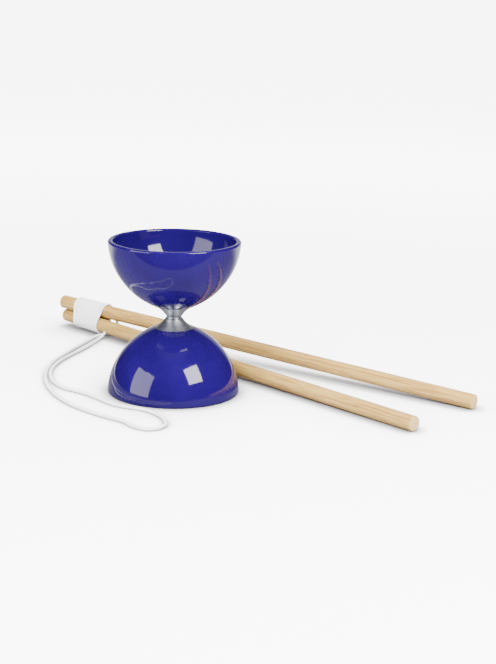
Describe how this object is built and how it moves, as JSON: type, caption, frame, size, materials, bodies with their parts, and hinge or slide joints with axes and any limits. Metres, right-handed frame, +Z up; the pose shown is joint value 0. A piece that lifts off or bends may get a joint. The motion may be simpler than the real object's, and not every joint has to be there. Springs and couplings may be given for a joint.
{
  "type": "diabolo",
  "caption": "Two-cup spool on a short metal axle, with two round wooden handsticks held by an elastic band and joined by a cotton string.",
  "frame": {"origin": "on the spool's axis, in the plane of the rim that it stands on", "axes": "+Z up along the spool's axis; the front of the set faces -Y and the handsticks' tips point to +X"},
  "size_m": [0.3533, 0.3306, 0.123],
  "materials": {
    "cup_plastic": "glossy moulded plastic, deep royal blue",
    "hub_metal": "turned aluminium with fine circular tool marks",
    "ring_metal": "turned metal ring, polished by the string",
    "plated_steel": "zinc-plated steel",
    "stick_wood": "pale natural wood, sanded, unvarnished",
    "band_elastic": "white woven elastic tape with turned edges",
    "string_cotton": "white twisted cotton cord"
  },
  "bodies": {
    "front_stick": {"front_handstick": "stick_wood", "string": "string_cotton"},
    "rear_stick": {"rear_handstick": "stick_wood"},
    "band": {"stick_band": "band_elastic"},
    "ring": {"running_ring": "ring_metal"},
    "spool": {"upper_cup": "cup_plastic", "lower_cup": "cup_plastic", "upper_hub": "hub_metal", "lower_hub": "hub_metal", "axle_rod": "plated_steel", "upper_washer": "plated_steel", "lower_washer": "plated_steel", "upper_lock_washer": "plated_steel", "lower_lock_washer": "plated_steel", "upper_nut": "plated_steel", "lower_nut": "plated_steel"}
  },
  "joints": [
    {"name": "spool_lift", "type": "slide", "parent": "front_stick", "child": "ring", "axis": [0, 0, 1], "range_m": [0, 0.25]},
    {"name": "spool_spin", "type": "hinge", "parent": "ring", "child": "spool", "pos_m": [0, 0, 0.0615], "axis": [0, 0, 1], "continuous": true},
    {"name": "stick_swing", "type": "hinge", "parent": "front_stick", "child": "rear_stick", "pos_m": [-0.084, 0.19514, 0.0216], "axis": [0, 0, 1], "range_deg": [-3, 4]},
    {"name": "band_slide", "type": "slide", "parent": "front_stick", "child": "band", "axis": [-0.6769, 0.7361, 0], "range_m": [0, 0.06], "deforming": ["stick_band"]}
  ]
}
